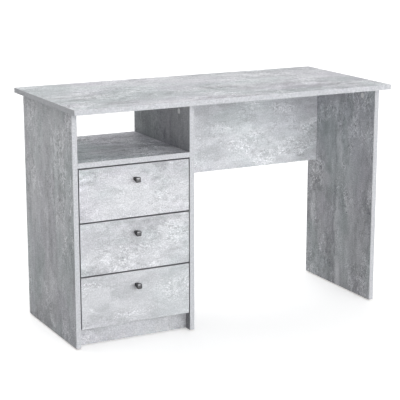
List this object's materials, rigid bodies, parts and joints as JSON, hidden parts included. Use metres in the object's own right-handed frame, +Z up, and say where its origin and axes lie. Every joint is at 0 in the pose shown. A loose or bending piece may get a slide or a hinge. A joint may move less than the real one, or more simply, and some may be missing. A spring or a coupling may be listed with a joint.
{
  "type": "writing desk with drawers",
  "caption": "Straight board desk: drawer pedestal with an open shelf bay on the left, knee space with a modesty panel on the right, small square knobs on roller slides.",
  "frame": {"origin": "on the floor, under the middle of the worktop", "axes": "+X to the right along the worktop, +Y to the back, +Z up"},
  "size_m": [1.1, 0.5, 0.74],
  "materials": {
    "concrete_laminate": "satin concrete-look laminate on particle board",
    "grey_laminate": "satin concrete-look laminate on particle board",
    "fibreboard": "thin hardboard, painted light grey on its show face",
    "slide_steel": "white epoxy coated sheet steel",
    "roller_plastic": "white nylon",
    "knob_metal": "dark graphite, satin",
    "cap_plastic": "pale grey plastic",
    "glide_plastic": "black plastic",
    "beech": "fluted beech, bare",
    "zinc_casting": "bare zinc casting",
    "plated_steel": "bright zinc plate"
  },
  "bodies": {
    "carcass": {"back_panel_nails": "plated_steel", "bay_back_panel": "fibreboard", "bottom_left_cabinet_rail": "slide_steel", "bottom_right_cabinet_rail": "slide_steel", "cabinet_rail_screws": "plated_steel", "cam_bolts": "plated_steel", "cam_caps": "cap_plastic", "cam_locks": "zinc_casting", "divider_panel": "concrete_laminate", "floor_glides": "glide_plastic", "left_side_panel": "concrete_laminate", "middle_left_cabinet_rail": "slide_steel", "middle_right_cabinet_rail": "slide_steel", "modesty_panel": "concrete_laminate", "plinth": "concrete_laminate", "right_side_panel": "concrete_laminate", "shelf": "concrete_laminate", "top_left_cabinet_rail": "slide_steel", "top_right_cabinet_rail": "slide_steel", "wood_dowels": "beech", "worktop": "concrete_laminate"},
    "top_drawer": {"top_drawer_back": "grey_laminate", "top_drawer_bottom": "fibreboard", "top_drawer_cam_locks": "zinc_casting", "top_drawer_front": "concrete_laminate", "top_drawer_knob": "knob_metal", "top_drawer_knob_screw": "plated_steel", "top_drawer_left_rail": "slide_steel", "top_drawer_left_side": "grey_laminate", "top_drawer_rail_screws": "plated_steel", "top_drawer_right_rail": "slide_steel", "top_drawer_right_side": "grey_laminate"},
    "top_drawer_rear_rollers": {"top_drawer_rollers": "roller_plastic"},
    "top_cabinet_front_rollers": {"top_cabinet_rollers": "roller_plastic"},
    "middle_drawer": {"middle_drawer_back": "grey_laminate", "middle_drawer_bottom": "fibreboard", "middle_drawer_cam_locks": "zinc_casting", "middle_drawer_front": "concrete_laminate", "middle_drawer_knob": "knob_metal", "middle_drawer_knob_screw": "plated_steel", "middle_drawer_left_rail": "slide_steel", "middle_drawer_left_side": "grey_laminate", "middle_drawer_rail_screws": "plated_steel", "middle_drawer_right_rail": "slide_steel", "middle_drawer_right_side": "grey_laminate"},
    "middle_drawer_rear_rollers": {"middle_drawer_rollers": "roller_plastic"},
    "middle_cabinet_front_rollers": {"middle_cabinet_rollers": "roller_plastic"},
    "bottom_drawer": {"bottom_drawer_back": "grey_laminate", "bottom_drawer_bottom": "fibreboard", "bottom_drawer_cam_locks": "zinc_casting", "bottom_drawer_front": "concrete_laminate", "bottom_drawer_knob": "knob_metal", "bottom_drawer_knob_screw": "plated_steel", "bottom_drawer_left_rail": "slide_steel", "bottom_drawer_left_side": "grey_laminate", "bottom_drawer_rail_screws": "plated_steel", "bottom_drawer_right_rail": "slide_steel", "bottom_drawer_right_side": "grey_laminate"},
    "bottom_drawer_rear_rollers": {"bottom_drawer_rollers": "roller_plastic"},
    "bottom_cabinet_front_rollers": {"bottom_cabinet_rollers": "roller_plastic"}
  },
  "joints": [
    {"name": "top_drawer_slide", "type": "slide", "parent": "carcass", "child": "top_drawer", "axis": [0, -1, 0], "range_m": [0, 0.26]},
    {"name": "top_cabinet_rollers_spin", "type": "hinge", "parent": "carcass", "child": "top_cabinet_front_rollers", "pos_m": [-0.339, -0.169, 0.41847], "axis": [1, 0, 0], "continuous": true},
    {"name": "top_drawer_rollers_spin", "type": "hinge", "parent": "top_drawer", "child": "top_drawer_rear_rollers", "pos_m": [-0.339, 0.152, 0.41487], "axis": [1, 0, 0], "continuous": true},
    {"name": "middle_drawer_slide", "type": "slide", "parent": "carcass", "child": "middle_drawer", "axis": [0, -1, 0], "range_m": [0, 0.26]},
    {"name": "middle_cabinet_rollers_spin", "type": "hinge", "parent": "carcass", "child": "middle_cabinet_front_rollers", "pos_m": [-0.339, -0.169, 0.25313], "axis": [1, 0, 0], "continuous": true},
    {"name": "middle_drawer_rollers_spin", "type": "hinge", "parent": "middle_drawer", "child": "middle_drawer_rear_rollers", "pos_m": [-0.339, 0.152, 0.24953], "axis": [1, 0, 0], "continuous": true},
    {"name": "bottom_drawer_slide", "type": "slide", "parent": "carcass", "child": "bottom_drawer", "axis": [0, -1, 0], "range_m": [0, 0.26]},
    {"name": "bottom_cabinet_rollers_spin", "type": "hinge", "parent": "carcass", "child": "bottom_cabinet_front_rollers", "pos_m": [-0.339, -0.169, 0.0878], "axis": [1, 0, 0], "continuous": true},
    {"name": "bottom_drawer_rollers_spin", "type": "hinge", "parent": "bottom_drawer", "child": "bottom_drawer_rear_rollers", "pos_m": [-0.339, 0.152, 0.0842], "axis": [1, 0, 0], "continuous": true}
  ],
  "couplings": [
    {"joint": "top_cabinet_rollers_spin", "follows": "top_drawer_slide", "rad_per_m": 114.94},
    {"joint": "top_drawer_rollers_spin", "follows": "top_drawer_slide", "rad_per_m": 114.94},
    {"joint": "middle_cabinet_rollers_spin", "follows": "middle_drawer_slide", "rad_per_m": 114.94},
    {"joint": "middle_drawer_rollers_spin", "follows": "middle_drawer_slide", "rad_per_m": 114.94},
    {"joint": "bottom_cabinet_rollers_spin", "follows": "bottom_drawer_slide", "rad_per_m": 114.94},
    {"joint": "bottom_drawer_rollers_spin", "follows": "bottom_drawer_slide", "rad_per_m": 114.94}
  ]
}
